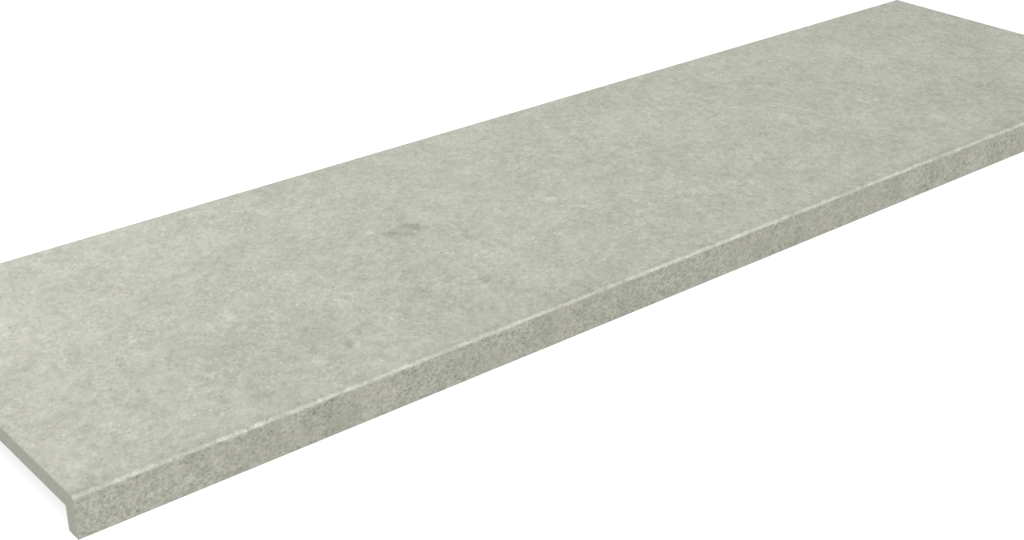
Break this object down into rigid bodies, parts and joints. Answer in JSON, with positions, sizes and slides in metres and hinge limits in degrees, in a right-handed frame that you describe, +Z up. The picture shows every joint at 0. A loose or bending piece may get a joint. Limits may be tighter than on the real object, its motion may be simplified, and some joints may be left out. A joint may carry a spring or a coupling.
{
  "type": "stair tread tile",
  "caption": "Long flat stair tread tile of L section: a matt cement-look ceramic slab whose front edge turns down as a short bevelled nose over the step, with a ribbed back for adhesive.",
  "frame": {"origin": "middle of the footprint, level with the foot of the lip", "axes": "+X along the step, +Y from the nose to the rear edge, +Z up out of the tread face"},
  "size_m": [1.2, 0.33, 0.031],
  "materials": {
    "tile_body": "matt cement-look, unpolished"
  },
  "bodies": {
    "root": {"stair_tread": "tile_body"}
  },
  "joints": []
}
